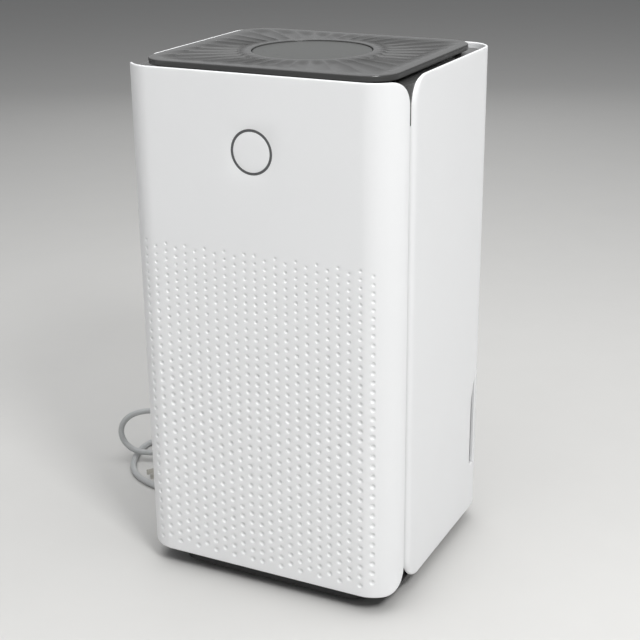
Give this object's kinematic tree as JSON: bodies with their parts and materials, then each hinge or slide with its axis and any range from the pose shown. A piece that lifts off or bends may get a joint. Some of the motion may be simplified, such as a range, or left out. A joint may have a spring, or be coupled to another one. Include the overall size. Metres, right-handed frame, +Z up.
{
  "type": "dehumidifier",
  "caption": "Upright dehumidifier with a dimpled front, fluted top air outlet, pull-out water tank, tilting intake grille, fan, compressor circuit and power cord.",
  "frame": {"origin": "on the floor, under the middle of the casing", "axes": "+Z up, front faces -Y, +X to the viewer's right when looking at the front"},
  "size_m": [0.4421, 0.3803, 0.5235],
  "materials": {
    "white_plastic": "fine satin texture",
    "charcoal_plastic": "satin",
    "black_plastic": "matt",
    "grey_plastic": "matt",
    "clear_plastic": "smooth, slightly blue",
    "touch_panel": "satin gloss",
    "ring_lens": "satin, grey",
    "white_foam": "foamed",
    "filter_net": "woven net",
    "black_rubber": "matt",
    "circuit_board": "solder resist",
    "zinc_steel": "zinc plated",
    "black_steel": "gloss enamel",
    "aluminium_fin": "bright",
    "copper_tube": "drawn copper",
    "nickel_brass": "nickel plated",
    "grey_cord": "smooth PVC"
  },
  "bodies": {
    "casing": {"front_cover": "white_plastic", "light_ring": "ring_lens", "ring_light_board": "circuit_board", "rear_shell": "white_plastic", "seam_strips": "black_plastic", "grip_cups": "white_plastic", "base_pan": "black_plastic", "casing_screws": "zinc_steel", "feet": "black_rubber", "top_deck": "charcoal_plastic", "top_plate": "charcoal_plastic", "control_disc": "touch_panel", "control_board": "circuit_board", "control_carrier": "black_plastic", "bulkhead": "grey_plastic", "tank_switch": "black_plastic", "drip_tray": "grey_plastic", "drain_port": "black_plastic", "evaporator": "aluminium_fin", "condenser": "aluminium_fin", "compressor": "black_steel", "accumulator": "black_steel", "compressor_mounts": "black_rubber", "compressor_bolts": "zinc_steel", "suction_pipe": "copper_tube", "discharge_pipe": "copper_tube", "liquid_pipe": "copper_tube", "filter_drier": "copper_tube", "capillary_tube": "copper_tube", "coil_shroud": "grey_plastic", "fan_scroll": "grey_plastic", "fan_motor": "zinc_steel", "motor_mount": "black_plastic", "board_box": "black_plastic", "main_board": "circuit_board", "run_capacitor": "zinc_steel", "humidity_sensor": "circuit_board", "wiring": "grey_cord", "inner_lead": "grey_cord", "cord_gland": "grey_cord", "power_cord_lead": "grey_cord", "power_cord_tail": "grey_cord", "cord_coil": "grey_cord", "cord_tie": "black_rubber", "plug_body": "grey_cord", "plug_blades": "nickel_brass"},
    "water_tank": {"tank_body": "clear_plastic", "tank_lid": "grey_plastic", "tank_seal": "black_rubber", "tank_panel": "white_plastic", "level_window": "clear_plastic"},
    "carry_handle": {"tank_handle": "grey_plastic"},
    "float": {"tank_float": "white_foam", "float_magnet": "zinc_steel"},
    "intake": {"intake_grille": "white_plastic", "filter_frame": "black_plastic", "filter_mesh": "filter_net"},
    "fan_rotor": {"impeller": "black_plastic", "motor_shaft": "zinc_steel"},
    "drain_stopper": {"drain_plug": "black_rubber"}
  },
  "joints": [
    {"name": "tank_slide", "type": "slide", "parent": "casing", "child": "water_tank", "axis": [0, 1, 0], "range_m": [0, 0.15]},
    {"name": "handle_swing", "type": "hinge", "parent": "water_tank", "child": "carry_handle", "pos_m": [0, 0.08, 0.223], "axis": [1, 0, 0], "range_deg": [0, 90]},
    {"name": "float_tilt", "type": "hinge", "parent": "water_tank", "child": "float", "pos_m": [0.04, 0.1, 0.203], "axis": [-1, 0, 0], "range_deg": [0, 9]},
    {"name": "grille_tilt", "type": "hinge", "parent": "casing", "child": "intake", "pos_m": [0, 0.12, 0.272], "axis": [-1, 0, 0], "range_deg": [0, 75]},
    {"name": "fan_spin", "type": "hinge", "parent": "casing", "child": "fan_rotor", "pos_m": [0, 0, 0.372], "axis": [0, 1, 0], "continuous": true},
    {"name": "drain_plug_pull", "type": "slide", "parent": "casing", "child": "drain_stopper", "axis": [0, 1, 0], "range_m": [0, 0.025]}
  ]
}
